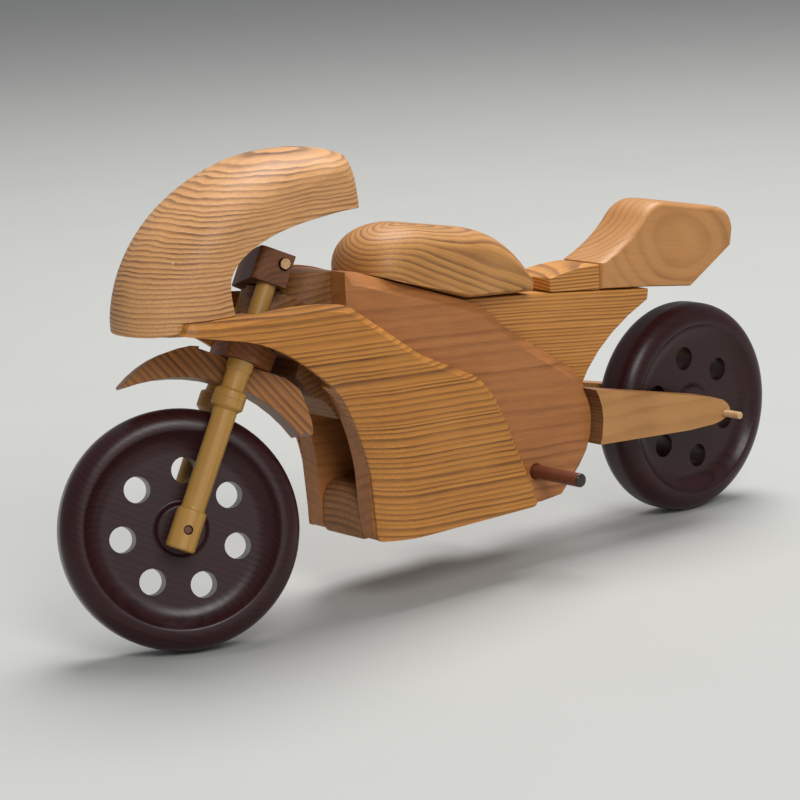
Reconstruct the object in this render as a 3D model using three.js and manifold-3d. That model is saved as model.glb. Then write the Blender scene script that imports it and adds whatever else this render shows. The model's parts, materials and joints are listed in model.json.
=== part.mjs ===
// Wooden racing motorcycle, a handmade free-standing toy about 390 mm long.
// Millimetres, +Z up. The front points along -X and the rider's left is -Y.
// The origin lies on the ground, under the middle of the whole toy. Places below are
// measured from a point 0.7 mm behind it, and the whole is shifted at the end.
import * as THREE from 'three';
import { mergeVertices } from 'three/addons/utils/BufferGeometryUtils.js';
import Module from 'manifold-3d';

const wasm = await Module();
wasm.setup();

// Driving dimensions
const gap = 0.3; // clearance between pieces that touch
const dowelSides = 16;

const wheelRadius = 50;
const wheelHalfWidth = 11;
const tyreRound = 8; // radius of the tyre's rounded shoulders
const rearAxleX = 145.9;
const frontAxleX = -151; // with the steering straight
const wheelHoleRadius = 5.5;
const wheelHoleCircle = 24.5;

const rake = THREE.MathUtils.degToRad(27.5); // steering axis, leaning back
const steer = THREE.MathUtils.degToRad(-29); // the fork stands turned to the right
const forkOffset = 7.5; // legs ahead of the steering axis
const legSpacing = 36.8; // between the two leg axes
const legRadius = 5;
const yokeHalfWidth = 24.6;
const lowerYokeZ = [72.8, 81.2]; // heights along the steering axis, above the front axle
const upperYokeZ = [106, 120];
const steeringPinRadius = 3;
const steeringPinTop = 100;
const tenonRadius = 4; // leg above the lower yoke's shoulder
const legTop = upperYokeZ[0] + 5.5;
const axleRadius = 1.7;

const coreHalf = 12.5; // half thickness of the middle boards
const plateOuter = 22; // outer face of the engine plates
const fairingOuter = 32; // outer face of the fairing panels
const undersideZ = 31; // flat underside of the body
const middleShift = 0.719; // puts the origin under the middle of the finished toy

// The lowest point of the tyre, when the wheel leans with the fork, is on the ground.
const leanedNormalZ = Math.sin(rake) * Math.abs(Math.sin(steer));
const leanedAxleHeight = (wheelRadius - tyreRound) * Math.sqrt(1 - leanedNormalZ ** 2)
  + (wheelHalfWidth - tyreRound) * leanedNormalZ + tyreRound;
const axisFootX = frontAxleX + forkOffset * Math.cos(rake);
const axisFootZ = leanedAxleHeight - forkOffset * Math.sin(rake) * Math.cos(steer);

// Materials
function wood(colour, roughness) {
  return () => new THREE.MeshStandardMaterial({ color: colour, roughness, metalness: 0 });
}
const pine = wood('#c98a4b', 0.55);
const cherry = wood('#9a5a30', 0.5);
const darkWood = wood('#5b3a28', 0.6);
const paleDowel = wood('#d9a95c', 0.45);
const redDowel = wood('#6b2f26', 0.5);
const wheelStain = wood('#3a1c20', 0.35);

// Geometry helpers
function solid(geometry) {
  geometry.deleteAttribute('normal');
  geometry.deleteAttribute('uv');
  const merged = mergeVertices(geometry, 1e-4);
  return new wasm.Manifold(new wasm.Mesh({
    numProp: 3,
    vertProperties: new Float32Array(merged.attributes.position.array),
    triVerts: new Uint32Array(merged.index.array),
  }));
}

function geometryOf(piece) {
  const mesh = piece.getMesh();
  const geometry = new THREE.BufferGeometry();
  geometry.setAttribute('position', new THREE.BufferAttribute(mesh.vertProperties, 3));
  geometry.setIndex(new THREE.BufferAttribute(mesh.triVerts, 1));
  geometry.computeVertexNormals();
  return geometry;
}

// A board: an outline drawn in X and Z, cut from yLow to yHigh.
const boardTurn = new THREE.Matrix4().makeBasis(
  new THREE.Vector3(1, 0, 0), new THREE.Vector3(0, 0, 1), new THREE.Vector3(0, -1, 0));
function boardGeometry(shape, yLow, yHigh, options = {}) {
  const settings = { depth: yHigh - yLow, bevelEnabled: false, curveSegments: 6, ...options };
  const geometry = new THREE.ExtrudeGeometry(shape, settings);
  return geometry.applyMatrix4(boardTurn).translate(0, yHigh, 0);
}
function board(shape, yLow, yHigh, options) {
  return solid(boardGeometry(shape, yLow, yHigh, options));
}

// A block whose section shrinks towards an anchor as it nears its two sides.
function crownedBoard(shape, halfWidth, anchorX, anchorZ, shrink, power) {
  const geometry = boardGeometry(shape, -halfWidth, halfWidth, { steps: 12 });
  const place = geometry.attributes.position;
  for (let i = 0; i < place.count; i += 1) {
    const scale = 1 - shrink * Math.abs(place.getY(i) / halfWidth) ** power;
    place.setX(i, anchorX + (place.getX(i) - anchorX) * scale);
    place.setZ(i, anchorZ + (place.getZ(i) - anchorZ) * scale);
  }
  return solid(geometry);
}

// A round rod along Y.
function rodY(radius, x, z, yLow, yHigh, sides = dowelSides) {
  const geometry = new THREE.CylinderGeometry(radius, radius, yHigh - yLow, sides);
  return solid(geometry.translate(x, (yLow + yHigh) / 2, z));
}

// A round rod along Z.
function rodZ(radius, x, y, zLow, zHigh, sides = dowelSides) {
  const geometry = new THREE.CylinderGeometry(radius, radius, zHigh - zLow, sides);
  return solid(geometry.rotateX(Math.PI / 2).translate(x, y, (zLow + zHigh) / 2));
}

function box(xRange, yRange, zRange) {
  const geometry = new THREE.BoxGeometry(
    xRange[1] - xRange[0], yRange[1] - yRange[0], zRange[1] - zRange[0]);
  return solid(geometry.translate(
    (xRange[0] + xRange[1]) / 2, (yRange[0] + yRange[1]) / 2, (zRange[0] + zRange[1]) / 2));
}

function outline(start, draw) {
  const shape = new THREE.Shape();
  shape.moveTo(...start);
  draw(shape);
  shape.closePath();
  return shape;
}

const toy = new THREE.Group();
toy.position.x = middleShift;
function add(parent, name, piece, material) {
  const mesh = new THREE.Mesh(piece.isBufferGeometry ? piece : geometryOf(piece), material());
  mesh.name = name;
  parent.add(mesh);
}

// Fork frame: its Z runs up the steering axis, -X points ahead and Z = 0 is level with the axle.
const raked = new THREE.Group();
raked.position.set(axisFootX, 0, axisFootZ);
raked.rotation.y = rake;
toy.add(raked);
const fork = new THREE.Group();
fork.rotation.z = steer;
raked.add(fork);

// The same frame's side view with the steering straight: back along the fork, then up it.
function forkPoint(back, up) {
  return [
    axisFootX + back * Math.cos(rake) + up * Math.sin(rake),
    axisFootZ - back * Math.sin(rake) + up * Math.cos(rake),
  ];
}

// Turned wheel, its axis along Y
function wheel(holeCount, firstHoleAngle, boreRadius) {
  const hubHalfWidth = 7.5;
  const webHalf = 6;
  const hubRadius = 10.5;
  const webRadius = 31;
  const crestRadius = 41.5;
  const right = new THREE.Path();
  right.moveTo(boreRadius, hubHalfWidth);
  right.lineTo(hubRadius, hubHalfWidth);
  right.lineTo(hubRadius + 2, webHalf);
  right.lineTo(webRadius, webHalf);
  right.quadraticCurveTo(crestRadius - 5, webHalf, crestRadius, wheelHalfWidth);
  right.absarc(wheelRadius - tyreRound, wheelHalfWidth - tyreRound, tyreRound, Math.PI / 2, 0, true);
  const half = right.getPoints(4);
  const profile = [...half, ...half.map((p) => new THREE.Vector2(p.x, -p.y)).reverse(), half[0]];
  let piece = solid(new THREE.LatheGeometry(profile.reverse(), 44));
  for (let i = 0; i < holeCount; i += 1) {
    const angle = firstHoleAngle + (i * 2 * Math.PI) / holeCount;
    const x = -wheelHoleCircle * Math.cos(angle);
    const z = wheelHoleCircle * Math.sin(angle);
    piece = piece.subtract(rodY(wheelHoleRadius, x, z, -wheelHalfWidth, wheelHalfWidth, 14));
  }
  return piece;
}

// Turned fork leg, its axis along Z, with an axle hole through the ferrule
function forkLeg() {
  const ferruleRadius = 6.25;
  const collarRadius = 6.75;
  const shoulderRadius = 6;
  const steps = [
    [0, -8.5], [ferruleRadius - 0.8, -8.5], [ferruleRadius, -7.7], [ferruleRadius, 7.8],
    [ferruleRadius - 0.8, 8.6], [legRadius, 9], [legRadius, 51.5], [collarRadius, 52.3],
    [collarRadius, 59.9], [legRadius, 60.7], [legRadius, 68], [shoulderRadius, 68.6],
    [shoulderRadius, lowerYokeZ[0] - gap], [tenonRadius, lowerYokeZ[0] - gap],
    [tenonRadius, legTop], [0, legTop],
  ];
  const profile = steps.map(([r, z]) => new THREE.Vector2(r, z));
  const leg = solid(new THREE.LatheGeometry(profile, 24).rotateX(Math.PI / 2));
  return leg.subtract(rodY(axleRadius + gap, 0, 0, -10, 10));
}

// Yoke: a block across both legs; the lower one narrows back to the steering pin
function yoke([zLow, zHigh], back) {
  const front = -forkOffset - 8;
  const sideEnd = -forkOffset + (back > 0 ? 4.5 : 7);
  const backHalfWidth = 9;
  const corner = 3;
  const shape = outline([front + corner, yokeHalfWidth], (s) => {
    s.quadraticCurveTo(front, yokeHalfWidth, front, yokeHalfWidth - corner);
    s.lineTo(front, corner - yokeHalfWidth);
    s.quadraticCurveTo(front, -yokeHalfWidth, front + corner, -yokeHalfWidth);
    s.lineTo(sideEnd, -yokeHalfWidth);
    if (back > sideEnd) {
      s.lineTo(back, -backHalfWidth);
      s.lineTo(back, backHalfWidth);
    }
    s.lineTo(sideEnd, yokeHalfWidth);
  });
  const depth = zHigh - zLow;
  const settings = { depth, bevelEnabled: false, curveSegments: 3 };
  return solid(new THREE.ExtrudeGeometry(shape, settings).translate(0, 0, zLow));
}

function forkParts() {
  const legY = legSpacing / 2;
  const tenonHole = tenonRadius + gap;
  const pinLow = lowerYokeZ[0] + 0.5;
  const pin = rodZ(steeringPinRadius, 0, 0, pinLow, steeringPinTop);
  const pinHole = rodZ(steeringPinRadius + gap, 0, 0, 60, steeringPinTop);
  let lower = yoke(lowerYokeZ, 7).subtract(pinHole);
  let upper = yoke(upperYokeZ, -0.5);
  for (const side of [-1, 1]) {
    const hole = rodZ(tenonHole, -forkOffset, side * legY, 60, legTop + gap);
    lower = lower.subtract(hole);
    upper = upper.subtract(hole);
  }
  const barRadius = 2.3;
  const barBack = -4;
  const barUp = upperYokeZ[1] - 4.6;
  const barEnd = 27; // broken end, just outside the yoke
  const barRoot = 12;
  const bar = rodY(barRadius, barBack, barUp, -barEnd, -barRoot - gap);
  const barHole = rodY(barRadius + gap, barBack, barUp, -yokeHalfWidth - 5, -barRoot);
  upper = upper.subtract(barHole).subtract(barHole.mirror([0, 1, 0]));
  add(fork, 'steering_pin', pin, paleDowel);
  add(fork, 'lower_yoke', lower, darkWood);
  add(fork, 'upper_yoke', upper, darkWood);
  add(fork, 'handlebar_stub_left', bar, redDowel);
  add(fork, 'handlebar_stub_right', bar.mirror([0, 1, 0]), redDowel);
  for (const [name, side] of [['fork_leg_left', -1], ['fork_leg_right', 1]]) {
    add(fork, name, forkLeg().translate([-forkOffset, side * legY, 0]), paleDowel);
  }
  const axleEnd = legY + 5;
  add(fork, 'front_axle', rodY(axleRadius, -forkOffset, 0, -axleEnd, axleEnd), darkWood);
  const frontWheel = wheel(7, THREE.MathUtils.degToRad(23.3), axleRadius + gap);
  add(fork, 'front_wheel', frontWheel.translate([-forkOffset, 0, 0]), wheelStain);
}

// Mudguard: an arch round the front wheel, pointed at the front, glued under the lower yoke
function mudguard() {
  const innerRadius = 62.5;
  const outerRadius = 75.5;
  const halfWidth = 11.5;
  const polar = (radius, degrees) => {
    const angle = THREE.MathUtils.degToRad(degrees);
    return [-forkOffset - radius * Math.cos(angle), radius * Math.sin(angle)];
  };
  const rad = THREE.MathUtils.degToRad;
  const shape = outline(polar(innerRadius, 50), (s) => {
    s.absarc(-forkOffset, 0, innerRadius, rad(130), rad(56), true);
    s.quadraticCurveTo(...polar(64, 122), ...polar(66.5, 126));
    s.quadraticCurveTo(...polar(70, 124), ...polar(outerRadius, 112));
    s.absarc(-forkOffset, 0, outerRadius, rad(68), rad(106), false);
    s.quadraticCurveTo(...polar(74, 61), ...polar(64, 49));
    s.quadraticCurveTo(...polar(62.5, 48), ...polar(innerRadius, 50));
  });
  const top = lowerYokeZ[0] - gap;
  const overYoke = box([-25, 12], [-2 * halfWidth, 2 * halfWidth], [top, outerRadius + 10]);
  return board(shape, -halfWidth, halfWidth).subtract(overYoke);
}

// Engine plate: a rounded board on each side of the middle boards
function enginePlateShape() {
  return outline([-64, undersideZ], (s) => {
    s.lineTo(32, undersideZ - 2);
    s.bezierCurveTo(57, undersideZ - 2, 69.5, 44, 69.5, 62);
    s.bezierCurveTo(69.5, 73, 62, 82, 55, 87);
    s.lineTo(17, 111);
    s.quadraticCurveTo(8, 121, -4, 125.5);
    s.lineTo(-60, 145);
    s.quadraticCurveTo(-68, 148, -75.5, 148.5);
    s.lineTo(-75.5, 134);
    s.quadraticCurveTo(-84, 126, -84, 100);
    s.quadraticCurveTo(-72, 86, -68.5, 62);
    s.lineTo(-67, 37);
    s.quadraticCurveTo(-67, undersideZ, -64, undersideZ);
  });
}

// Fairing panel: tapers to a point beside the nose cowl
function fairingShape(inset) {
  return outline([-65, undersideZ + inset], (s) => {
    s.lineTo(16 - inset, undersideZ + inset);
    s.quadraticCurveTo(21 - inset, undersideZ + inset, 20 - inset, 39);
    s.lineTo(9.5 - inset, 61);
    s.quadraticCurveTo(1 - inset, 86 - inset, -12, 95 - inset);
    s.lineTo(-42, 109 - inset);
    s.lineTo(-79, 135 - inset);
    s.quadraticCurveTo(-86, 139 - inset, -110, 140 - inset);
    s.lineTo(-159, 140 - inset);
    s.lineTo(-162 + inset, 135.5);
    s.lineTo(-141, 131 + inset);
    s.quadraticCurveTo(-124, 128 + inset, -108, 116.5 + inset);
    s.quadraticCurveTo(-88, 102 + inset, -80 + inset, 90);
    s.quadraticCurveTo(-71 + inset, 77, -68 + inset, 60);
    s.lineTo(-66.5 + inset, 39);
    s.quadraticCurveTo(-66.5 + inset, undersideZ + inset, -65, undersideZ + inset);
  });
}

function fairing() {
  const inner = plateOuter + gap;
  const edge = 3;
  const settings = { bevelEnabled: true, bevelThickness: edge, bevelSize: edge, bevelSegments: 2 };
  const full = board(fairingShape(edge), -fairingOuter + edge, -inner + 2 * edge, settings);
  const sideCut = box([-200, 60], [-40, -inner], [0, 200]);
  // Seen from above, the outer face curves in to the point.
  const plan = outline([60, -fairingOuter], (s) => {
    s.lineTo(-115, -fairingOuter);
    s.quadraticCurveTo(-142, -fairingOuter, -162, -25);
    s.lineTo(-162, 0);
    s.lineTo(60, 0);
  });
  const slab = solid(new THREE.ExtrudeGeometry(plan, { depth: 200, bevelEnabled: false }));
  // Relief that lets the yokes and legs swing.
  const relief = box([-130, -74], [-28.8, 0], [103, 150]);
  return full.intersect(sideCut).intersect(slab).subtract(relief);
}

// Nose cowl: a block with a C-shaped side view, its outside rounded over towards the sides
function noseCowl() {
  const halfWidth = 26.5;
  const [hollowX, hollowZ] = [-98, 148]; // middle of the C
  const innerReach = 40;
  const outerReach = 50;
  const sideDrop = 12; // how far the outside falls away at the two sides
  const noseDrop = 9; // and how much more at the front
  const shape = outline([-136, 120], (s) => {
    s.lineTo(-174, 120);
    s.bezierCurveTo(-179, 165, -139, 196, -100, 200.5);
    s.quadraticCurveTo(-76, 202, -64, 197);
    s.quadraticCurveTo(-59, 190, -61.5, 177);
    s.quadraticCurveTo(-101, 175.5, -121, 168.5);
    s.quadraticCurveTo(-138, 162, -139.5, 153);
    s.quadraticCurveTo(-140, 146, -136, 136);
  });
  const geometry = boardGeometry(shape, -halfWidth, halfWidth, { steps: 12 });
  const place = geometry.attributes.position;
  for (let i = 0; i < place.count; i += 1) {
    const across = Math.abs(place.getY(i) / halfWidth);
    const [dx, dz] = [hollowX - place.getX(i), hollowZ - place.getZ(i)];
    const reach = Math.hypot(dx, dz);
    const outer = THREE.MathUtils.smoothstep(reach, innerReach, outerReach);
    const ahead = Math.max(dx / reach, 0) ** 2;
    const inward = outer * (sideDrop + noseDrop * ahead) * across ** 2.6;
    place.setX(i, place.getX(i) + (inward * dx) / reach);
    place.setZ(i, place.getZ(i) + (inward * dz) / reach);
  }
  const below = box([-200, 0], [-40, 40], [100, 133.5]);
  const noseBelow = box([-200, -160], [-40, 40], [100, 137.5]);
  // The fairing points are let into rabbets along the two lower edges.
  const rabbet = box([-163, 0], [-40, -plateOuter], [100, 140 + gap]);
  return solid(geometry).subtract(below).subtract(noseBelow)
    .subtract(rabbet).subtract(rabbet.mirror([0, 1, 0]));
}

// Tank: a crowned block on the sloping tops of the engine plates
const tankSlope = (145 - 125.5) / (-60 + 4);
const tankBottom = (x) => 126.2 + tankSlope * (x + 4);
function tankShape() {
  return outline([-56, tankBottom(-56)], (s) => {
    s.lineTo(-2, tankBottom(-2));
    s.lineTo(38, 122.3);
    s.lineTo(39, 127);
    s.bezierCurveTo(30, 142, 22, 152, 6, 155.5);
    s.lineTo(-28, 162);
    s.bezierCurveTo(-44, 164, -57, 157, -56, tankBottom(-56));
  });
}

// Frame plank: from under the tank to the tail, cut round the rear wheel
function framePlankShape() {
  return outline([-40, 82], (s) => {
    s.lineTo(30, 60);
    s.lineTo(63, 64);
    s.quadraticCurveTo(72, 92, 112.5, 108);
    s.lineTo(113.5, 113);
    s.lineTo(36, 121.8);
    s.lineTo(-3, 125.2);
    s.lineTo(-40, 138.2);
  });
}

// Head block: carries the steering pin between the yokes, and is rounded where the fork swings
function headBlock() {
  const lugTop = upperYokeZ[0] - gap * 2;
  const lugLow = lowerYokeZ[1] + gap * 2;
  const noseBack = 14.8; // centre of the rounding behind the upper yoke
  const noseFront = coreHalf + 0.1;
  const shape = outline(forkPoint(-noseFront, lugLow), (s) => {
    s.lineTo(...forkPoint(14, lugLow));
    s.lineTo(...forkPoint(14, 75));
    s.lineTo(...forkPoint(19, 73.5));
    s.lineTo(...forkPoint(26, 70));
    s.quadraticCurveTo(-81, 95, -76, 85);
    s.lineTo(-40.3, 82);
    s.lineTo(-40.3, 138.4);
    s.lineTo(-58, 144);
    s.quadraticCurveTo(-72, 149, ...forkPoint(noseBack - noseFront, 116));
    s.lineTo(...forkPoint(noseBack - noseFront, lugTop));
    s.lineTo(...forkPoint(-noseFront, lugTop));
  });
  const alongAxis = (piece) => piece.rotate([0, THREE.MathUtils.radToDeg(rake), 0])
    .translate([axisFootX, 0, axisFootZ]);
  const rounding = (back, low, high) => alongAxis(
    box([back - 20, back], [-20, 20], [low, high]).subtract(rodZ(coreHalf, back, 0, 60, 140, 28)));
  const pinHole = rodZ(steeringPinRadius + gap, 0, 0, 60, steeringPinTop + gap);
  return board(shape, -coreHalf, coreHalf)
    .subtract(rounding(0, lugLow - 5, lugTop))
    .subtract(rounding(noseBack, lugTop, 140))
    .subtract(alongAxis(pinHole));
}

// Belly block: closes the bottom between the engine plates
function bellyShape() {
  return outline([-64, undersideZ - 1], (s) => {
    s.lineTo(20, undersideZ - 1);
    s.lineTo(29.5, 59.5);
    s.lineTo(-10, 71.5);
    s.lineTo(-32, 52);
    s.lineTo(-58, 52.5);
    s.quadraticCurveTo(-65, 52, -66.5, 45);
    s.lineTo(-67, 36);
    s.quadraticCurveTo(-67, undersideZ - 1, -64, undersideZ - 1);
  });
}

function bodyParts() {
  const inner = coreHalf + gap;
  add(toy, 'head_block', headBlock(), darkWood);
  add(toy, 'frame_plank', board(framePlankShape(), -coreHalf, coreHalf), pine);
  add(toy, 'belly_block', board(bellyShape(), -coreHalf, coreHalf), cherry);
  const plateLeft = board(enginePlateShape(), -plateOuter, -inner);
  const pegX = 28.5;
  const pegZ = 43.5;
  const pegRadius = 3.1;
  const pegRoot = 14;
  const pegEnd = 51;
  const pegHole = rodY(pegRadius + gap, pegX, pegZ, -60, -inner);
  const panelLeft = fairing();
  const drilled = plateLeft.subtract(pegHole);
  const pegLeft = rodY(pegRadius, pegX, pegZ, -pegEnd, -pegRoot);
  const flip = (piece) => piece.mirror([0, 1, 0]);
  for (const [side, place] of [['left', (p) => p], ['right', flip]]) {
    add(toy, `engine_plate_${side}`, place(drilled), cherry);
    add(toy, `fairing_${side}`, place(panelLeft), pine);
    add(toy, `footpeg_${side}`, place(pegLeft), redDowel);
    add(toy, `swingarm_${side}`, place(swingarm()), pine);
  }
  add(toy, 'nose_cowl', noseCowl(), pine);
  add(toy, 'tank', crownedBoard(tankShape(), 21, -22, tankBottom(-22), 0.28, 3), pine);
  add(toy, 'seat_pad', board(seatShape(), -coreHalf, coreHalf), pine);
  add(toy, 'tail_hump', crownedBoard(tailShape(), 13.5, 128, 125, 0.06, 4), pine);
  const axleEnd = 38;
  add(toy, 'rear_axle', rodY(axleRadius, rearAxleX, wheelRadius, -axleEnd, axleEnd), paleDowel);
}

// Swingarm: a tapering arm, fish-mouthed on the rear edge of the engine plate
function swingarm() {
  const armShape = outline([60, 50.5], (s) => {
    s.lineTo(122, 46);
    s.lineTo(138, 46);
    s.quadraticCurveTo(145, 46.4, 149.5, 49.5);
    s.quadraticCurveTo(150.5, 53, 145, 56.5);
    s.lineTo(138, 59);
    s.lineTo(60, 77);
  });
  const arm = board(armShape, -28, -14);
  const mouth = board(enginePlateShape(), -30, -10).translate([gap, 0, 0]);
  const axleHole = rodY(axleRadius + gap, rearAxleX, wheelRadius, -30, -10);
  return arm.subtract(mouth).subtract(axleHole);
}

function seatShape() {
  return outline([51, 120.5], (s) => {
    s.lineTo(82, 117);
    s.lineTo(82, 128.8);
    s.quadraticCurveTo(66, 129.6, 50.4, 126.8);
  });
}

function tailShape() {
  return outline([82.6, 117], (s) => {
    s.lineTo(113.4, 113.4);
    s.lineTo(142, 109.6);
    s.lineTo(171, 126);
    s.lineTo(172.5, 134);
    s.quadraticCurveTo(171.5, 143, 163, 145);
    s.lineTo(126, 152.5);
    s.quadraticCurveTo(118, 153.8, 111, 147);
    s.quadraticCurveTo(101, 136, 82.6, 129.2);
  });
}

forkParts();
add(fork, 'front_mudguard', mudguard(), pine);
bodyParts();
const rearWheel = wheel(6, THREE.MathUtils.degToRad(21.3), axleRadius + gap);
add(toy, 'rear_wheel', rearWheel.translate([rearAxleX, 0, wheelRadius]), wheelStain);

export default toy;
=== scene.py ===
import json
import math
import bmesh
import bpy
from mathutils import Euler, Matrix, Vector, geometry


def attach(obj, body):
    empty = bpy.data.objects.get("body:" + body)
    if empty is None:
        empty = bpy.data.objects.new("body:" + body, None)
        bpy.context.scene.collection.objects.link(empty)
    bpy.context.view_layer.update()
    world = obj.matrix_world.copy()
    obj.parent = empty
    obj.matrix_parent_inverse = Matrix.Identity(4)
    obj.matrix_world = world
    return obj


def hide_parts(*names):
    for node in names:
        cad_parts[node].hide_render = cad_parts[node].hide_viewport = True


# Wooden racing motorcycle: turned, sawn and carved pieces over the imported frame.
# Lengths in the dictionaries are millimetres, everything else is metres.

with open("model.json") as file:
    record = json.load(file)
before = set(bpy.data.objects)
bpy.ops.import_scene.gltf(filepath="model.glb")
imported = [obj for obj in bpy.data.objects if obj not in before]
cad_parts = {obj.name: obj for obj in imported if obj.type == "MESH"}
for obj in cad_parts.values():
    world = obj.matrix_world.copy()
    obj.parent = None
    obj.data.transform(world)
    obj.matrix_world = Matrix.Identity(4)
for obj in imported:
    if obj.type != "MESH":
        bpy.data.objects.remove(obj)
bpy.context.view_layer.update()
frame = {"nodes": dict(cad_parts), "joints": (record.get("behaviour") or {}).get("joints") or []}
mm = 0.001
nodes = frame["nodes"]
joints = {joint["name"]: joint for joint in frame["joints"]}
print("frame loaded:", len(nodes), "nodes")


def basis(xAxis, yAxis, zAxis, origin):
    place = Matrix((xAxis, yAxis, zAxis)).transposed().to_4x4()
    place.translation = origin
    return place


# The fork's own frame: Z up the steering axis, X back, Y to the rider's right.
forkUp = Vector(joints["steering"]["axis"]).normalized()
forkRight = Vector(joints["front_wheel_spin"]["axis"]).normalized()
forkPlace = basis(forkRight.cross(forkUp), forkRight, forkUp, Vector(joints["steering"]["pos_m"]))
rearHub = Vector(joints["rear_wheel_spin"]["pos_m"])
frontHub = forkPlace.inverted() @ Vector(joints["front_wheel_spin"]["pos_m"])
noPlace = Matrix.Identity(4)
middle = rearHub.x - 145.9 * mm  # outlines below are drawn from this point on the ground
bodyPlace = Matrix.Translation((middle, 0, 0))


def link(tree, source, target):
    tree.links.new(source, target)


def addNode(tree, kind, inputs=None, **settings):
    node = tree.nodes.new(kind)
    for name, value in settings.items():
        setattr(node, name, value)
    for key, value in (inputs or {}).items():
        if isinstance(value, bpy.types.NodeSocket):
            link(tree, value, node.inputs[key])
        else:
            node.inputs[key].default_value = value
    return node


def mathNode(tree, operation, a, b=0.0, clamp=False):
    return addNode(tree, "ShaderNodeMath", {0: a, 1: b}, operation=operation, use_clamp=clamp).outputs[0]


def stretched(tree, vector, scale):
    return addNode(tree, "ShaderNodeVectorMath", {0: vector, 1: scale}, operation="MULTIPLY").outputs[0]


def noise(tree, vector, scale, detail=3.0, roughness=0.5):
    node = addNode(tree, "ShaderNodeTexNoise",
                   {"Vector": vector, "Scale": scale, "Detail": detail, "Roughness": roughness})
    return node.outputs["Fac"]


def mixed(tree, factor, a, b, blend="MIX"):
    node = addNode(tree, "ShaderNodeMix", None, data_type="RGBA", blend_type=blend)
    for key, value in ((0, factor), (6, a), (7, b)):
        if isinstance(value, bpy.types.NodeSocket):
            link(tree, value, node.inputs[key])
        else:
            node.inputs[key].default_value = (*value, 1) if key > 0 else value
    return node.outputs[2]


def ramp(tree, factor, stops):
    node = addNode(tree, "ShaderNodeValToRGB", {0: factor})
    while len(node.color_ramp.elements) < len(stops):
        node.color_ramp.elements.new(0.5)
    for element, (position, value) in zip(node.color_ramp.elements, stops):
        element.position = position
        element.color = (value, value, value, 1)
    return node.outputs[0]


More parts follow.
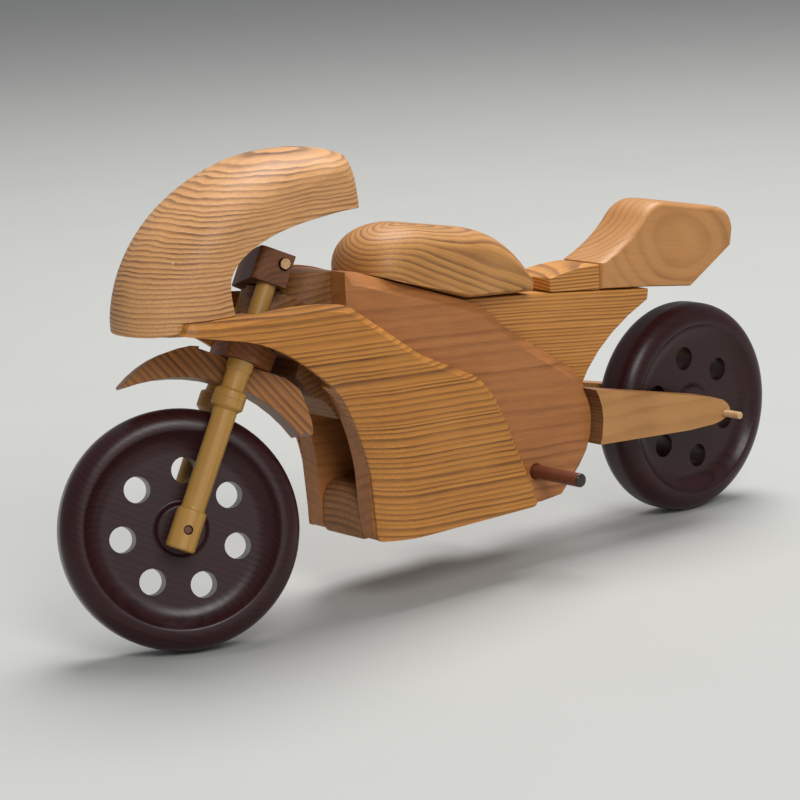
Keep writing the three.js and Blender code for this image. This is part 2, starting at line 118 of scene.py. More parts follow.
# Solid wood: growth layers round a pith line, drawn out along the grain, with fibres,
# cloudy patches and a few pale filled nicks, which on the peg ends stand for painted highlights.
def woodFinish(name, look, place=noPlace):
    finish = bpy.data.materials.new(name)
    finish.use_nodes = True
    tree = finish.node_tree
    shader = tree.nodes["Principled BSDF"]
    grainPlace = place @ Matrix.Translation([c * mm for c in look["pith"]]) \
        @ Euler([math.radians(a) for a in look["turn"]]).to_matrix().to_4x4()
    coordinates = addNode(tree, "ShaderNodeTexCoord").outputs["Object"]
    grain = addNode(tree, "ShaderNodeMapping", {
        "Vector": coordinates, "Location": grainPlace.translation,
        "Rotation": grainPlace.to_euler()}, vector_type="TEXTURE").outputs[0]

    # distance from the pith, in rings
    layered = stretched(tree, grain, (look["draw"], 1, 1))
    distance = addNode(tree, "ShaderNodeVectorMath", {0: layered}, operation="LENGTH").outputs["Value"]
    slow = noise(tree, stretched(tree, grain, (look["waveAlong"], 30, 30)), 1.0, 2.0)
    fast = noise(tree, stretched(tree, grain, (look["waveAlong"] * 3.5, 90, 90)), 1.0, 2.0)
    swing = mathNode(tree, "MULTIPLY", mathNode(tree, "SUBTRACT", slow, 0.5), look["wave"] * mm)
    ripple = mathNode(tree, "MULTIPLY", mathNode(tree, "SUBTRACT", fast, 0.5), look["ripple"] * mm)
    bent = mathNode(tree, "ADD", mathNode(tree, "ADD", distance, swing), ripple)
    rings = mathNode(tree, "DIVIDE", bent, look["ring"] * mm)
    pace = addNode(tree, "ShaderNodeTexNoise", {"W": rings, "Scale": 0.31, "Detail": 1.0},
                   noise_dimensions="1D").outputs["Fac"]
    rings = mathNode(tree, "ADD", rings, mathNode(tree, "MULTIPLY", pace, look["uneven"]))
    phase = mathNode(tree, "FRACT", rings)
    late = ramp(tree, phase, look["layer"])
    weight = addNode(tree, "ShaderNodeTexNoise", {"W": rings, "Scale": 0.77, "Detail": 0.0},
                     noise_dimensions="1D").outputs["Fac"]
    weight = ramp(tree, weight, ((0.3, look["faintest"]), (0.62, 1.0)))
    patch = noise(tree, stretched(tree, grain, (14, 40, 40)), 1.0, 2.0)
    weight = mathNode(tree, "MULTIPLY", weight, ramp(tree, patch, ((0.3, look["patchy"]), (0.6, 1.0))))
    late = mathNode(tree, "MULTIPLY", late, weight)

    # fibres, flecks and clouds
    fibre = noise(tree, stretched(tree, grain, (45, 1500, 1500)), 1.0, 3.0, 0.6)
    streak = noise(tree, stretched(tree, grain, (9, 260, 260)), 1.0, 3.0, 0.55)
    cloud = noise(tree, grain, 26.0, 3.0)
    pores = ramp(tree, noise(tree, stretched(tree, grain, (120, 2600, 2600)), 1.0, 1.0),
                 ((0.66, 0.0), (0.74, 1.0)))
    colour = mixed(tree, late, look["early"], look["late"])
    streaks = ramp(tree, streak, ((0.34, 0.0), (0.66, 1.0)))
    colour = mixed(tree, mathNode(tree, "MULTIPLY", streaks, look["streak"]), colour, look["streakColour"])
    clouds = ramp(tree, cloud, ((0.36, 0.0), (0.64, 1.0)))
    colour = mixed(tree, mathNode(tree, "MULTIPLY", clouds, look["cloud"]), colour, look["cloudColour"])
    fine = ramp(tree, fibre, ((0.3, 1 - look["fibre"]), (0.7, 1 + look["fibre"])))
    colour = mixed(tree, 1.0, colour, fine, "MULTIPLY")
    colour = mixed(tree, mathNode(tree, "MULTIPLY", pores, look["pores"]), colour, look["late"])
    # Pale filled nicks; on the peg ends the same specks are painted highlights.
    nicks = addNode(tree, "ShaderNodeTexVoronoi", {"Vector": grain, "Scale": 70.0})
    chosen = addNode(tree, "ShaderNodeSeparateColor", {0: nicks.outputs["Color"]}).outputs[0]
    chosen = mathNode(tree, "GREATER_THAN", chosen, 1 - look["nicks"])
    ragged = mathNode(tree, "ADD", nicks.outputs["Distance"],
                      mathNode(tree, "MULTIPLY", noise(tree, grain, 900.0, 2.0), 0.09))
    nick = mathNode(tree, "MULTIPLY", mathNode(tree, "LESS_THAN", ragged, 0.082), chosen)
    colour = mixed(tree, mathNode(tree, "MULTIPLY", nick, 0.7), colour, look["nickColour"])
    link(tree, colour, shader.inputs["Base Color"])

    shine = mathNode(tree, "ADD", look["roughness"] - 0.08, mathNode(tree, "MULTIPLY", cloud, 0.16))
    shine = mathNode(tree, "SUBTRACT", shine, mathNode(tree, "MULTIPLY", late, 0.06))
    link(tree, shine, shader.inputs["Roughness"])
    relief = mathNode(tree, "ADD", mathNode(tree, "MULTIPLY", late, look["ringRelief"]),
                      mathNode(tree, "MULTIPLY", fibre, look["fibreRelief"]))
    relief = mathNode(tree, "SUBTRACT", relief, mathNode(tree, "MULTIPLY", nick, 0.8))
    bump = addNode(tree, "ShaderNodeBump", {"Strength": 1.0, "Distance": 0.1 * mm, "Height": relief})
    link(tree, bump.outputs[0], shader.inputs["Normal"])
    shader.inputs["Specular IOR Level"].default_value = look["gloss"]
    return finish


sharpLayer = ((0.0, 0.0), (0.34, 0.1), (0.55, 0.45), (0.73, 1.0), (0.93, 1.0), (1.0, 0.05))
softLayer = ((0.0, 0.15), (0.4, 0.0), (0.85, 1.0), (1.0, 0.2))

# Every finish starts from this and changes what differs.
plainPine = {
    "early": (0.52, 0.210, 0.039), "late": (0.062, 0.015, 0.003),
    "pith": (0, 0, -160), "turn": (0, 3.5, 0), "draw": 0.02,
    "ring": 2.2, "layer": sharpLayer, "uneven": 0.9, "faintest": 0.75, "patchy": 0.7,
    "wave": 2.4, "waveAlong": 9, "ripple": 0.35,
    "streak": 0.4, "streakColour": (0.34, 0.120, 0.022),
    "cloud": 0.3, "cloudColour": (0.57, 0.255, 0.058),
    "fibre": 0.13, "pores": 0.2, "nicks": 0.05, "nickColour": (0.72, 0.52, 0.32),
    "roughness": 0.48, "gloss": 0.35, "ringRelief": 1.0, "fibreRelief": 0.35,
}


def varied(base, **changes):
    return {**base, **changes}


def curvePoints(path, steps=10):
    # path: a start point, then (x, z) lines, (cx, cz, x, z) bends, or two-handle curves of six numbers
    points = [Vector(path[0]).to_3d()]
    for part in path[1:]:
        here = points[-1]
        if len(part) == 2:
            points.append(Vector(part).to_3d())
            continue
        end = Vector(part[-2:]).to_3d()
        if len(part) == 4:
            control = Vector(part[:2]).to_3d()
            first, second = here.lerp(control, 2 / 3), end.lerp(control, 2 / 3)
        else:
            first, second = Vector(part[:2]).to_3d(), Vector(part[2:4]).to_3d()
        points += geometry.interpolate_bezier(here, first, second, end, steps + 1)[1:]
    if (points[-1] - points[0]).length < 1e-6:
        points.pop()
    return points


def sawnBoard(path, yLow, yHigh, steps=10):
    bm = bmesh.new()
    corners = [bm.verts.new((p.x * mm, yLow * mm, p.y * mm)) for p in curvePoints(path, steps)]
    face = bm.faces.new(corners)
    grown = bmesh.ops.extrude_face_region(bm, geom=[face])
    moved = [g for g in grown["geom"] if isinstance(g, bmesh.types.BMVert)]
    bmesh.ops.translate(bm, verts=moved, vec=(0, (yHigh - yLow) * mm, 0))
    bmesh.ops.recalc_face_normals(bm, faces=bm.faces)
    return bm


def cutAcross(bm, axis, places):
    normal = Vector((axis == "x", axis == "y", axis == "z"))
    for place in places:
        everything = bm.verts[:] + bm.edges[:] + bm.faces[:]
        bmesh.ops.bisect_plane(bm, geom=everything, dist=1e-7, plane_co=normal * place * mm,
                               plane_no=normal)


def roundOver(bm, width, segments=3, least=28, chosen=None, clamp=True):
    edges = [e for e in bm.edges if len(e.link_faces) == 2
             and e.calc_face_angle(0) > math.radians(least) and (chosen is None or chosen(e))]
    bmesh.ops.bevel(bm, geom=edges, offset=width * mm, offset_type="OFFSET", affect="EDGES",
                    segments=segments, profile=0.5, material=-1, clamp_overlap=clamp)


def meshObject(name, bm):
    mesh = bpy.data.meshes.new(name)
    bm.to_mesh(mesh)
    bm.free()
    piece = bpy.data.objects.new(name, mesh)
    bpy.context.scene.collection.objects.link(piece)
    return piece


# Saw, drill or file one shape away from another.
def cutAway(bm, cutter):
    target, tool = meshObject("target", bm), meshObject("tool", cutter)
    saw = target.modifiers.new("saw", "BOOLEAN")
    saw.operation, saw.solver, saw.object = "DIFFERENCE", "EXACT", tool
    bpy.context.view_layer.update()
    cut = target.evaluated_get(bpy.context.evaluated_depsgraph_get())
    result = bmesh.new()
    result.from_mesh(cut.to_mesh())
    for spare in (target, tool):
        bpy.data.meshes.remove(spare.data)
    bmesh.ops.remove_doubles(result, verts=result.verts, dist=1e-6)
    return result


def boxShape(bm, xRange, yRange, zRange):
    ranges = (xRange, yRange, zRange)
    size = Matrix.Diagonal([(high - low) * mm for low, high in ranges] + [1])
    centre = Matrix.Translation([(high + low) / 2 * mm for low, high in ranges])
    bmesh.ops.create_cube(bm, size=1, matrix=centre @ size)


def drillShape(bm, radius, length, place, segments=40):
    bmesh.ops.create_cone(bm, cap_ends=True, segments=segments, radius1=radius * mm,
                          radius2=radius * mm, depth=length * mm, matrix=place)


def finishPiece(name, bm, finish, body, replaced, place=noPlace, sharp=32):
    bmesh.ops.transform(bm, matrix=place, verts=bm.verts)
    bmesh.ops.remove_doubles(bm, verts=bm.verts, dist=1e-6)
    bmesh.ops.recalc_face_normals(bm, faces=bm.faces)
    piece = meshObject(name, bm)
    piece.data.shade_smooth()
    piece.data.set_sharp_from_angle(angle=math.radians(sharp))
    piece.data.materials.append(finish)
    weighted = piece.modifiers.new("even shading", "WEIGHTED_NORMAL")
    weighted.keep_sharp = True
    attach(piece, body)
    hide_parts(*replaced)
    return piece


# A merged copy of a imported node, its flats made whole, ready to have its edges eased.
def sawnFromNode(node):
    bm = bmesh.new()
    bm.from_mesh(nodes[node].data)
    bmesh.ops.remove_doubles(bm, verts=bm.verts, dist=1e-6)
    bmesh.ops.dissolve_limit(bm, angle_limit=math.radians(1), verts=bm.verts, edges=bm.edges)
    return bm


# Turned on the lathe: the profile is (radius, height) up the Z axis.
def turned(profile, segments=64):
    bm = bmesh.new()
    verts = [bm.verts.new((r * mm, 0, z * mm)) for r, z in profile]
    edges = [bm.edges.new(pair) for pair in zip(verts, verts[1:])]
    bmesh.ops.spin(bm, geom=verts + edges, cent=(0, 0, 0), axis=(0, 0, 1), angle=math.tau,
                   steps=segments, use_merge=True)
    bmesh.ops.remove_doubles(bm, verts=bm.verts, dist=1e-6)
    bmesh.ops.recalc_face_normals(bm, faces=bm.faces)
    return bm


def arc(centre, radius, start, end, steps=8):
    angles = [math.radians(start + (end - start) * i / steps) for i in range(steps + 1)]
    return [(centre[0] + radius * math.cos(a), centre[1] + radius * math.sin(a)) for a in angles]


layOnY = Matrix.Rotation(math.radians(-90), 4, "X")  # Z axis laid along Y


wheel = {"radius": 50, "halfWidth": 11, "shoulder": 8, "crest": 41.5, "webRadius": 31, "webHalf": 6,
         "hubRadius": 10.5, "hubHalf": 7.5, "bore": 2, "holeRadius": 5.5, "holeCircle": 24.5,
         "holeEdge": 0.5, "frontHoles": 7, "frontFirst": 23.3, "rearHoles": 6, "rearFirst": 21.3}
wheelLook = varied(
    plainPine, early=(0.034, 0.0082, 0.0090), late=(0.016, 0.0040, 0.0046),
    ring=2.2, pith=(0, 60, 30), turn=(0, 0, 0), layer=softLayer,
    streak=0.3, streakColour=(0.020, 0.0055, 0.006), cloud=0.5, cloudColour=(0.033, 0.009, 0.010),
    fibre=0.10, pores=0.1, nicks=0.015, nickColour=(0.16, 0.09, 0.07), roughness=0.34, gloss=0.30,
    ringRelief=0.10, fibreRelief=0.18)


def turnedWheel(holes, firstHole):
    w = wheel
    halfCut = [(w["bore"], w["hubHalf"] - 0.6), (w["bore"] + 0.6, w["hubHalf"])]
    halfCut += arc((w["hubRadius"] - 1.2, w["hubHalf"] - 1.2), 1.2, 90, 10, 4)
    halfCut += arc((w["hubRadius"] + 1.6, w["webHalf"] + 1.2), 1.2, 200, 270, 3)
    bend = curvePoints([(w["webRadius"], w["webHalf"]),
                        (w["crest"] - 5, w["webHalf"], w["crest"] - 1.5, w["halfWidth"] - 0.9)], 8)
    halfCut += [(p.x, p.y) for p in bend]
    halfCut += arc((w["crest"], w["halfWidth"] - 1.6), 1.6, 150, 90, 3)
    halfCut += arc((w["radius"] - w["shoulder"], w["halfWidth"] - w["shoulder"]), w["shoulder"], 84, 0, 10)
    profile = halfCut + [(r, -z) for r, z in reversed(halfCut)]
    bm = turned(profile + profile[:1], 128)
    drills = bmesh.new()
    for i in range(holes):
        angle = math.radians(firstHole + 360 * i / holes)
        spot = Vector((-math.cos(angle), -math.sin(angle), 0)) * w["holeCircle"] * mm
        drillShape(drills, w["holeRadius"], 3 * w["halfWidth"], Matrix.Translation(spot), 40)
    bm = cutAway(bm, drills)
    rims = [e for e in bm.edges if len(e.link_faces) == 2 and e.calc_face_angle(0) > 1.2
            and w["hubRadius"] + 2 < Vector(e.verts[0].co[:2]).length / mm < w["webRadius"] + 2]
    bmesh.ops.bevel(bm, geom=rims, offset=w["holeEdge"] * mm, offset_type="OFFSET", affect="EDGES",
                    segments=2, profile=0.5, material=-1, clamp_overlap=True)
    return bm


frontWheelPlace = forkPlace @ Matrix.Translation(frontHub) @ layOnY
rearWheelPlace = Matrix.Translation(rearHub) @ layOnY
for name, place, holes, firstHole in (
        ("front_wheel", frontWheelPlace, wheel["frontHoles"], wheel["frontFirst"]),
        ("rear_wheel", rearWheelPlace, wheel["rearHoles"], wheel["rearFirst"])):
    stain = woodFinish(name + "_stain", wheelLook, place)
    finishPiece(name + "_turned", turnedWheel(holes, firstHole), stain, name, [name], place)
print("wheels turned")


fork = {"legSide": 18.4, "legBack": -7.5, "axle": 1.7, "bar": 2.3, "barBack": -4, "barUp": 115.4,
        "barRoot": 12.3, "barEnd": 27, "tornDepth": 1.7, "axleHalf": 23.4,
        "pinRadius": 3, "pinLow": 73.3, "pinHigh": 100}
legProfile = ([(0, -8.5)] + arc((5.05, -7.3), 1.2, -90, 0, 4) + arc((5.05, 7.4), 1.2, 0, 80, 4)
              + [(5.05, 8.9), (5.0, 9.6), (5.0, 51.3)] + arc((5.55, 53.4), 1.2, -70, 0, 4)
              + [(6.75, 56.1), (6.6, 56.3), (6.75, 56.5)] + arc((5.55, 58.7), 1.2, 0, 70, 4)
              + [(5.0, 60.4), (4.9, 62), (5.0, 67.9), (5.4, 68.5), (5.5, 69.0), (5.5, 72.5),
                 (4.0, 72.5), (4.0, 111.5), (0, 111.5)])
legLook = varied(
    plainPine, early=(0.41, 0.216, 0.045), late=(0.26, 0.115, 0.020),
    ring=1.5, pith=(3, 5, 0), turn=(0, 90, 0), layer=softLayer, faintest=0.3, patchy=0.3, wave=1.0,
    streak=0.35, streakColour=(0.32, 0.155, 0.030), cloud=0.35, cloudColour=(0.49, 0.275, 0.065),
    fibre=0.07, pores=0.25, nicks=0.03, roughness=0.38, gloss=0.45, ringRelief=0.1, fibreRelief=0.2)
darkLook = varied(
    plainPine, early=(0.145, 0.043, 0.008), late=(0.040, 0.011, 0.003),
    ring=2.4, pith=(0, -30, 100), turn=(0, 0, 90), streak=0.5, streakColour=(0.075, 0.023, 0.007),
    cloud=0.6, cloudColour=(0.22, 0.085, 0.030), fibre=0.22, pores=0.5, nicks=0.12,
    nickColour=(0.32, 0.18, 0.10), roughness=0.6, gloss=0.3, ringRelief=0.8, fibreRelief=0.7)

for side, sign in (("left", -1), ("right", 1)):
    legPlace = forkPlace @ Matrix.Translation((fork["legBack"] * mm, sign * fork["legSide"] * mm, 0))
    drill = bmesh.new()
    drillShape(drill, fork["axle"] + 0.3, 30, layOnY, 32)
    leg = cutAway(turned(legProfile, 56), drill)
    finishPiece("turned_leg_" + side, leg, woodFinish("leg_" + side, legLook, legPlace), "fork",
                ["fork_leg_" + side], legPlace)
print("legs turned")

darkFinish = woodFinish("yoke_wood", darkLook, forkPlace)
# A lighter copy of the yoke wood for the lower yoke: painted light, lifting a part that sits in shade.
litLowerYokeLook = varied(darkLook, early=(0.32, 0.098, 0.018), late=(0.09, 0.026, 0.005))
litLowerYokeFinish = woodFinish("lower_yoke_wood", litLowerYokeLook, forkPlace)
for node, finish in (("upper_yoke", darkFinish), ("lower_yoke", litLowerYokeFinish)):
    bm = sawnFromNode(node)
    roundOver(bm, 0.7, 2, 40)
    finishPiece(node + "_block", bm, finish, "fork", [node])


def dowel(radius, length, endRound, segments=32):
    profile = [(0, 0)] + arc((radius - endRound, endRound), endRound, -90, 0, 4)
    profile += [(r, length - z) for r, z in reversed(profile)]
    return turned(profile, segments)


# Handlebar stubs, snapped off short: a pale torn end on a stained bar.
stubLook = varied(legLook, early=(0.62, 0.40, 0.20), late=(0.30, 0.13, 0.06), ring=0.9, ringRelief=1.5,
                  fibreRelief=1.2, cloud=0.6, cloudColour=(0.32, 0.15, 0.07), roughness=0.7, pores=0.5)
redLook = varied(
    plainPine, early=(0.165, 0.048, 0.024), late=(0.085, 0.024, 0.014),
    ring=1.6, pith=(0, 3, 4), turn=(0, 0, 90), layer=softLayer,
    streak=0.5, streakColour=(0.11, 0.032, 0.018), cloud=0.4, cloudColour=(0.22, 0.075, 0.035),
    fibre=0.15, pores=0.3, nicks=0.03, roughness=0.36, gloss=0.5, ringRelief=0.2, fibreRelief=0.3)
stubFinish = woodFinish("stub_stain", redLook, forkPlace)
tornFinish = woodFinish("stub_torn", stubLook, forkPlace)
for side, sign in (("left", -1), ("right", 1)):
    length = fork["barEnd"] - fork["barRoot"]
    bm = dowel(fork["bar"], length, 0.4, 28)
    cutAcross(bm, "z", [length - fork["tornDepth"] + step for step in (0.1, 0.8)])
    for vert in bm.verts:
        high = vert.co.z / mm - (length - fork["tornDepth"])
        if high > 0:
            jag = math.sin(vert.co.x / mm * 3.1 + sign) + math.cos(vert.co.y / mm * 4.3)
            vert.co.z -= 0.28 * mm * (1 + jag * 0.5) * min(1, high)
            vert.co.x *= 0.93
    root = Vector((fork["barBack"], sign * fork["barRoot"], fork["barUp"])) * mm
    place = forkPlace @ Matrix.Translation(root) @ Matrix.Rotation(math.radians(-90 * sign), 4, "X")
    stub = finishPiece("bar_stub_" + side, bm, stubFinish, "fork", ["handlebar_stub_" + side],
                       place)
    stub.data.materials.append(tornFinish)
    outward = (place.to_3x3() @ Vector((0, 0, 1))).normalized()
    for face in stub.data.polygons:
        if face.normal.dot(outward) > 0.6:
            face.material_index = 1

axleLook = varied(redLook, early=(0.10, 0.035, 0.02), late=(0.05, 0.018, 0.01), roughness=0.6)
place = forkPlace @ Matrix.Translation((fork["legBack"] * mm, -fork["axleHalf"] * mm, 0)) @ layOnY
finishPiece("front_axle_pin", dowel(fork["axle"], 2 * fork["axleHalf"], 0.4),
            woodFinish("axle_stain", axleLook, forkPlace), "fork", ["front_axle"], place)
place = forkPlace @ Matrix.Translation((0, 0, fork["pinLow"] * mm))
finishPiece("steering_dowel", dowel(fork["pinRadius"], fork["pinHigh"] - fork["pinLow"], 0.5),
            woodFinish("pin_wood", legLook, forkPlace), "fork", ["steering_pin"], place)

guardLook = varied(
    plainPine, early=(0.42, 0.160, 0.026), late=(0.050, 0.012, 0.002),
    ring=2.8, pith=(-60, 0, -20), turn=(0, 28, 0), wave=2.2, waveAlong=14,
    streak=0.4, streakColour=(0.13, 0.042, 0.009), cloud=0.4, cloudColour=(0.27, 0.105, 0.022),
    fibre=0.16, pores=0.3, nicks=0.04, roughness=0.5, ringRelief=0.9)
bm = sawnFromNode("front_mudguard")
roundOver(bm, 1.5, 3, 50)
finishPiece("mudguard_arch", bm, woodFinish("mudguard_wood", guardLook, forkPlace), "fork",
            ["front_mudguard"])
print("fork assembled")


cowl = {"half": 26.5, "hollow": (-98, 148), "hollowAhead": 39.5, "hollowUp": 28, "hollowShape": 2.6,
        "thickness": 24.5, "noseThickness": 11, "sideDrop": 14.5, "noseDrop": 16, "fullness": 2.05,
        "innerEase": 0.6, "easeFrom": 0.88, "noseFoot": 135, "fairingTop": 140.3, "fairingInner": 22,
        "endFrom": -92, "endTo": -61, "endKeep": 0.4, "endRound": 11}
cowlOutline = [(-134, 130.5), (-174, 134.2), (-176.6, 165, -139, 196, -100, 200.5),
               (-76, 202, -64, 197), (-59, 190, -61.5, 175), (-101, 174.5, -119, 168),
               (-136, 162, -137.5, 153), (-138, 146, -134, 133)]
cowlLook = varied(
    plainPine, early=(0.64, 0.322, 0.124), late=(0.07, 0.018, 0.004),
    ring=1.85, pith=(-110, 0, -20), turn=(3, -2.0, 4), draw=0.12, wave=3.6, waveAlong=22, ripple=1.5,
    uneven=0.9, faintest=0.7, patchy=0.7, streak=0.35, streakColour=(0.46, 0.205, 0.065),
    cloud=0.4, cloudColour=(0.68, 0.365, 0.155), nicks=0.09, roughness=0.5, ringRelief=1.2)


def smoothStep(value, low, high):
    t = min(1, max(0, (value - low) / (high - low)))
    return t * t * (3 - 2 * t)


# 0 in the middle and 1 at the side, meeting the side squarely like the section of an egg
def roundness(across, fullness):
    return 1 - max(0, 1 - across ** fullness) ** (1 / 2.1)


def carvedCowl():
    c = cowl
    bm = sawnBoard(cowlOutline, -c["half"], c["half"], 18)
    cutAcross(bm, "y", [-c["half"] * math.cos(math.pi * i / 28) for i in range(1, 28)])
    for vert in bm.verts:
        across = min(1, abs(vert.co.y) / (c["half"] * mm))
        toHollow = Vector((c["hollow"][0] * mm - vert.co.x, 0, c["hollow"][1] * mm - vert.co.z))
        reach = toHollow.length
        ahead = max(toHollow.x / reach, 0)
        oval = (ahead / c["hollowAhead"]) ** c["hollowShape"]
        oval += (abs(toHollow.z / reach) / c["hollowUp"]) ** c["hollowShape"]
        innerReach = oval ** (-1 / c["hollowShape"])
        thickness = c["thickness"] + c["noseThickness"] * ahead ** 2
        outer = min(1, max(0, (reach / mm - innerReach) / thickness))
        drop = (c["sideDrop"] + c["noseDrop"] * ahead ** 2) * roundness(across, c["fullness"])
        ease = c["innerEase"] * roundness(max(0, (across - c["easeFrom"]) / (1 - c["easeFrom"])), 2)
        back = smoothStep(vert.co.x / mm, c["endFrom"], c["endTo"])
        drop *= 1 - c["endKeep"] * back
        vert.co += toHollow / reach * (outer * drop - (1 - outer) * ease) * mm
        vert.co.x -= c["endRound"] * back * roundness(across, 2) * mm
    side = c["fairingInner"]
    for xRange, yRange, zRange in (((-200, -160), (-40, 40), (100, c["noseFoot"])),
                                   ((-163, 0), (-40, -side), (99, c["fairingTop"])),
                                   ((-163, 0), (side, 40), (98, c["fairingTop"]))):
        cutter = bmesh.new()  # one saw cut under the nose and one for each fairing's tip
        boxShape(cutter, xRange, yRange, zRange)
        bm = cutAway(bm, cutter)
    return bm


finishPiece("carved_cowl", carvedCowl(), woodFinish("cowl_wood", cowlLook, bodyPlace), "frame",
            ["nose_cowl"], bodyPlace, 40)


def crownedBlock(outline, block, cuts=28):
    half, (anchorX, anchorZ) = block["half"], block["anchor"]
    bm = sawnBoard(outline, -half, half, 14)
    cutAcross(bm, "y", [-half * math.cos(math.pi * i / cuts) for i in range(1, cuts)])
    for vert in bm.verts:
        curve = roundness(min(1, abs(vert.co.y) / (half * mm)), block["fullness"])
        x, z = vert.co.x / mm - anchorX, vert.co.z / mm - anchorZ
        along = block["frontShrink"] if x < 0 else block["rearShrink"]
        vert.co.x = (anchorX + x * (1 - along * curve)) * mm
        vert.co.z = (anchorZ + z * (1 - block["sideDrop"] * curve)) * mm
    return bm


# The plates' sloping top, which the tank sits on.
tankSeat = {"height": 126.2, "at": -4, "fall": 145 - 125.5, "run": 60 - 4}


def tankFoot(x):
    return tankSeat["height"] - tankSeat["fall"] / tankSeat["run"] * (x - tankSeat["at"])


tank = {"half": 21, "anchor": (-22, tankFoot(-22)), "frontShrink": 0.42, "rearShrink": 0.13,
        "sideDrop": 0.44, "fullness": 2.4}
tankOutline = [(-56, tankFoot(-56)), (-2, tankFoot(-2)), (38, 122.3), (39, 127),
               (30, 142, 22, 152, 6, 155.5), (-28, 162), (-44, 164, -57, 157, -56, tankFoot(-56))]
tankLook = varied(
    plainPine, early=(0.50, 0.228, 0.058), late=(0.09, 0.026, 0.006),
    ring=2.3, pith=(-30, -7, 162.5), turn=(0, 24, 0), draw=0.03, wave=2.2, waveAlong=20,
    ripple=0.6, uneven=0.6, faintest=0.6, patchy=0.75, streak=0.3,
    streakColour=(0.43, 0.18, 0.046), cloud=0.35, cloudColour=(0.60, 0.31, 0.11), nicks=0.05)
finishPiece("carved_tank", crownedBlock(tankOutline, tank), woodFinish("tank_wood", tankLook, bodyPlace),
            "frame", ["tank"], bodyPlace, 40)

tail = {"half": 13.5, "anchor": (128, 125), "frontShrink": 0.07, "rearShrink": 0.10, "sideDrop": 0.11,
        "fullness": 5}
tailOutline = [(82.6, 117), (113.4, 113.4), (142, 109.6), (171, 126), (172.5, 134),
               (171.5, 143, 163, 145), (126, 152.5), (118, 153.8, 111, 147), (101, 136, 82.6, 129.2)]
tailLook = varied(
    plainPine, early=(0.50, 0.230, 0.076), late=(0.30, 0.112, 0.031),
    ring=3.2, pith=(136, 22, 133), turn=(0, 12, 0), draw=0.62, layer=softLayer, wave=3.2,
    waveAlong=22, uneven=0.5, faintest=0.3, patchy=0.4, streak=0.2,
    streakColour=(0.45, 0.205, 0.060), cloud=0.3, cloudColour=(0.60, 0.32, 0.11), fibre=0.07, nicks=0.03,
    roughness=0.42, ringRelief=0.25)
finishPiece("carved_tail", crownedBlock(tailOutline, tail), woodFinish("tail_wood", tailLook, bodyPlace),
            "frame", ["tail_hump"], bodyPlace, 30)
print("cowl, tank and tail carved")


fairing = {"inner": 22.3, "outer": 32, "edge": 3.0, "edgeAbove": 33, "frontRound": 21,
           "frontDrop": 8.6, "frontPower": 2.2, "frontFade": 0.93, "fadeFrom": 70, "fadeTo": 95,
           "planStart": -115, "planEnd": -162, "planDrop": 5, "planEase": 0.35,
           "reliefX": (-130.2, -73.8), "reliefY": (-28.9, 0), "reliefZ": (102.8, 150)}
fairingOutline = [(-65, 31), (16, 31), (21, 31, 20, 39), (9.5, 61), (1, 86, -12, 95), (-42, 109),
                  (-79, 135), (-86, 139, -110, 140), (-159, 140), (-162, 135.5), (-141, 131),
                  (-124, 128, -108, 116.5), (-88, 102, -80, 90), (-71, 77, -68, 60), (-66.5, 39),
                  (-66.5, 31, -65, 31)]
fairingFront = [(-66.5, 28), (-66.5, 39), (-68, 60), (-71, 77, -80, 90), (-88, 102, -108, 116.5),
                (-124, 128, -141, 131)]
fairingLook = varied(plainPine, pith=(-30, -4, -190), turn=(0, 3.2, 0), ring=2.45, waveAlong=14,
                     early=(0.54, 0.218, 0.038), late=(0.045, 0.010, 0.002), uneven=1.7, faintest=0.5)


def frontDistance(x, z, line):
    spot = Vector((x, z, 0))
    least = math.inf
    for a, b in zip(line, line[1:]):
        nearest, along = geometry.intersect_point_line(spot, a, b)
        if 0 <= along <= 1:
            least = min(least, (spot - nearest).length)
        else:
            least = min(least, (spot - a).length, (spot - b).length)
    return least


def fairingPanel(sign):
    f = fairing
    bm = sawnBoard(fairingOutline, -f["outer"], -f["inner"], 10)
    line = curvePoints(fairingFront, 6)
    upper = [e for e in bm.edges if all(
        v.co.y < -(f["outer"] - 0.01) * mm and v.co.z > f["edgeAbove"] * mm
        and frontDistance(v.co.x / mm, v.co.z / mm, line) > 0.5 for v in e.verts)]
    bmesh.ops.bevel(bm, geom=upper, offset=f["edge"] * mm, offset_type="OFFSET", affect="EDGES",
                    segments=1, profile=0.5, material=-1, clamp_overlap=False)
    cutAcross(bm, "x", range(-160, 20, 3))
    cutAcross(bm, "z", range(33, 138, 3))
    for vert in bm.verts:
        x, z = vert.co.x / mm, vert.co.z / mm
        proud = min(1, max(0, (-vert.co.y / mm - f["inner"]) / (f["outer"] - f["inner"])))
        near = max(0, 1 - frontDistance(x, z, line) / f["frontRound"])
        fade = 1 - f["frontFade"] * smoothStep(-x, f["fadeFrom"], f["fadeTo"])
        drop = f["frontDrop"] * near ** f["frontPower"] * fade
        t = max(0, (f["planStart"] - x) / (f["planStart"] - f["planEnd"]))
        vert.co.y += (drop + f["planDrop"] * t ** 2 * (1 - f["planEase"] * near)) * proud * mm
    relief = bmesh.new()  # room inside the panel for the yokes and legs to swing
    boxShape(relief, f["reliefX"], f["reliefY"], f["reliefZ"])
    bm = cutAway(bm, relief)
    if sign > 0:
        bmesh.ops.scale(bm, vec=(1, -1, 1), verts=bm.verts)
    return bm


for side, sign in (("left", -1), ("right", 1)):
    look = varied(fairingLook, pith=(-30, sign * 4, -190 - 2 * sign))
    finish = woodFinish("fairing_wood_" + side, look, bodyPlace)
    finishPiece("fairing_panel_" + side, fairingPanel(sign), finish, "frame", ["fairing_" + side],
                bodyPlace, 40)
print("fairings shaped")


